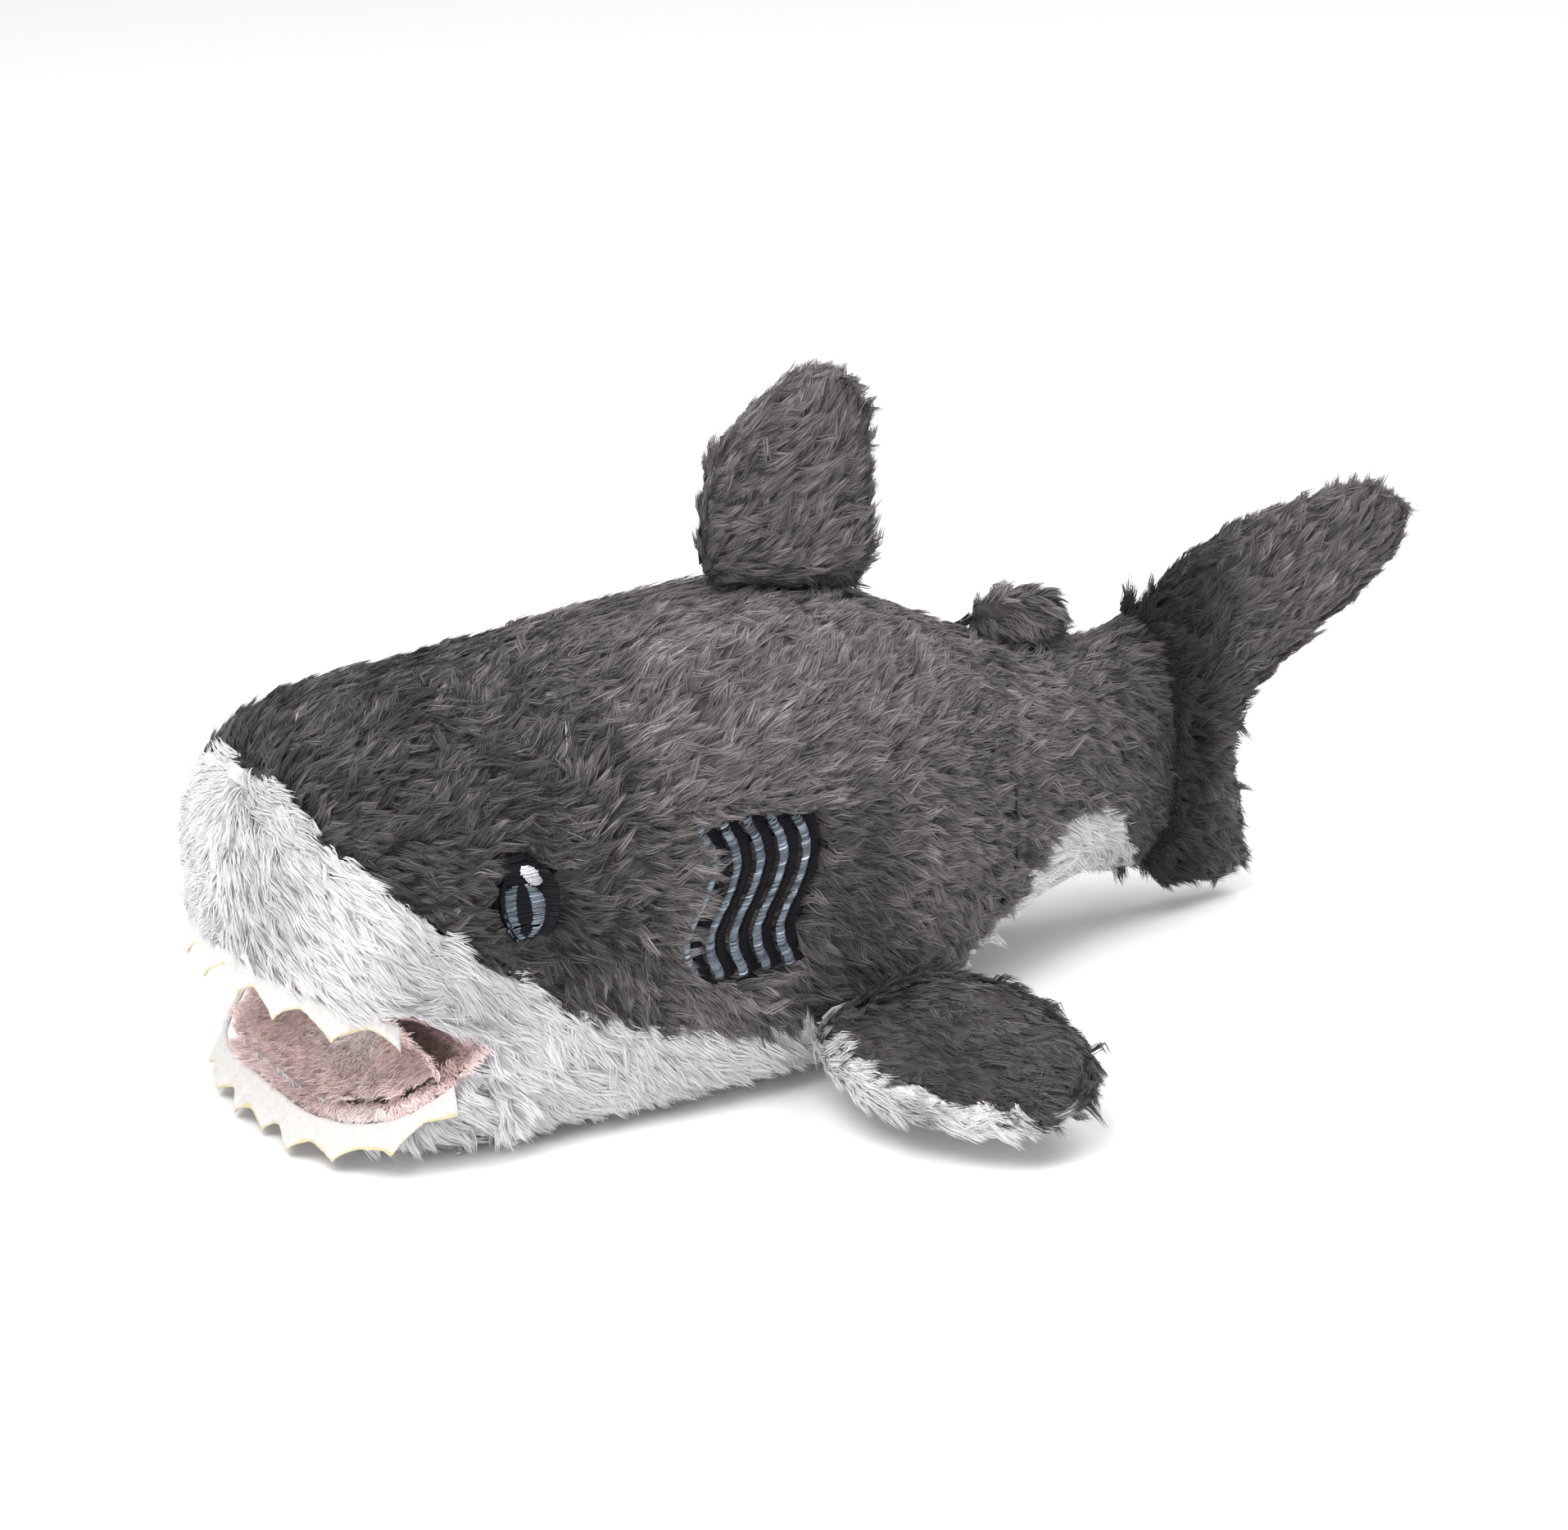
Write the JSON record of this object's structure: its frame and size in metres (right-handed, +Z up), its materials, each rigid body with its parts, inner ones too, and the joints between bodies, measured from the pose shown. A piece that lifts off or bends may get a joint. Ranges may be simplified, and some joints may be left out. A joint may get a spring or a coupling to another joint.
{
  "type": "plush shark",
  "caption": "Stuffed fur-fabric shark with an open lined mouth, felt teeth, embroidered eyes and gills, and soft fins that flex at their seams.",
  "frame": {"origin": "the middle of the shark's width on the flat under the trunk where it rests on the floor, between the pectoral fins' rear roots", "axes": "+X towards the shark's left, +Y from nose to tail, +Z up from belly to back"},
  "size_m": [0.205, 0.2996, 0.143],
  "materials": {
    "grey_fur": "long-pile grey-brown fur fabric",
    "white_fur": "long-pile white fur fabric",
    "pink_lining": "short brushed pile, pale pink",
    "felt": "white felt with a pale yellow cut edge",
    "black_thread": "black embroidery thread, satin stitch",
    "blue_thread": "blue-grey embroidery thread, satin stitch",
    "white_thread": "pale embroidery thread, satin stitch",
    "stuffing": "polyester fibre filling"
  },
  "bodies": {
    "torso": {"back_panel_left": "grey_fur", "back_panel_right": "grey_fur", "snout_panel": "white_fur", "belly_panel": "white_fur", "palate_lining": "pink_lining", "body_stuffing": "stuffing", "upper_teeth_strip": "felt", "eye_base_left": "black_thread", "eye_iris_left": "blue_thread", "eye_highlight_left": "white_thread", "eye_base_right": "black_thread", "eye_iris_right": "blue_thread", "eye_highlight_right": "white_thread", "gill_1_line_left": "blue_thread", "gill_1_shade_left": "black_thread", "gill_2_line_left": "blue_thread", "gill_2_shade_left": "black_thread", "gill_3_line_left": "blue_thread", "gill_3_shade_left": "black_thread", "gill_4_line_left": "blue_thread", "gill_4_shade_left": "black_thread", "gill_5_line_left": "blue_thread", "gill_5_shade_left": "black_thread", "gill_1_line_right": "blue_thread", "gill_1_shade_right": "black_thread", "gill_2_line_right": "blue_thread", "gill_2_shade_right": "black_thread", "gill_3_line_right": "blue_thread", "gill_3_shade_right": "black_thread", "gill_4_line_right": "blue_thread", "gill_4_shade_right": "black_thread", "gill_5_line_right": "blue_thread", "gill_5_shade_right": "black_thread"},
    "jaw": {"jaw_panel": "white_fur", "mouth_floor_lining": "pink_lining", "jaw_stuffing": "stuffing", "lower_teeth_strip": "felt"},
    "pectoral_left": {"pectoral_left_top_panel": "grey_fur", "pectoral_left_under_panel": "white_fur", "pectoral_left_stuffing": "stuffing"},
    "pectoral_right": {"pectoral_right_top_panel": "grey_fur", "pectoral_right_under_panel": "white_fur", "pectoral_right_stuffing": "stuffing"},
    "dorsal_fin": {"dorsal_fin_panel_left": "grey_fur", "dorsal_fin_panel_right": "grey_fur", "dorsal_fin_stuffing": "stuffing"},
    "tail": {"tail_panel_left": "grey_fur", "tail_panel_right": "grey_fur", "tail_underside_panel": "white_fur", "tail_stuffing": "stuffing"},
    "rear_dorsal_fin": {"rear_dorsal_fin_panel_left": "grey_fur", "rear_dorsal_fin_panel_right": "grey_fur"},
    "tail_fin": {"tail_fin_panel_left": "grey_fur", "tail_fin_panel_right": "grey_fur", "tail_fin_stuffing": "stuffing"}
  },
  "joints": [
    {"name": "jaw_flex", "type": "hinge", "parent": "torso", "child": "jaw", "pos_m": [0, -0.0997, 0.027], "axis": [1, 0, 0], "range_deg": [-16, 6], "stiffness_Nm_per_rad": 0.03},
    {"name": "pectoral_left_flap", "type": "hinge", "parent": "torso", "child": "pectoral_left", "pos_m": [0.0543, -0.0105, 0.0175], "axis": [0, -0.9857, -0.1683], "range_deg": [-8, 50], "stiffness_Nm_per_rad": 0.02},
    {"name": "pectoral_right_flap", "type": "hinge", "parent": "torso", "child": "pectoral_right", "pos_m": [-0.0543, -0.0105, 0.0175], "axis": [0, 0.9857, 0.1683], "range_deg": [-8, 50], "stiffness_Nm_per_rad": 0.02},
    {"name": "dorsal_fin_lean", "type": "hinge", "parent": "torso", "child": "dorsal_fin", "pos_m": [0, -0.027, 0.107], "axis": [0, 0.9789, -0.2046], "range_deg": [-45, 45], "stiffness_Nm_per_rad": 0.01},
    {"name": "tail_swing", "type": "hinge", "parent": "torso", "child": "tail", "pos_m": [0, 0.042, 0.04], "axis": [0, 0, 1], "range_deg": [-25, 25], "stiffness_Nm_per_rad": 0.15},
    {"name": "rear_dorsal_fin_lean", "type": "hinge", "parent": "tail", "child": "rear_dorsal_fin", "pos_m": [0, 0.042, 0.082], "axis": [0, 0.9556, -0.2946], "range_deg": [-45, 45], "stiffness_Nm_per_rad": 0.0005},
    {"name": "tail_fin_swing", "type": "hinge", "parent": "tail", "child": "tail_fin", "pos_m": [0, 0.094, 0.04], "axis": [0, 0, 1], "range_deg": [-30, 30], "stiffness_Nm_per_rad": 0.03}
  ]
}
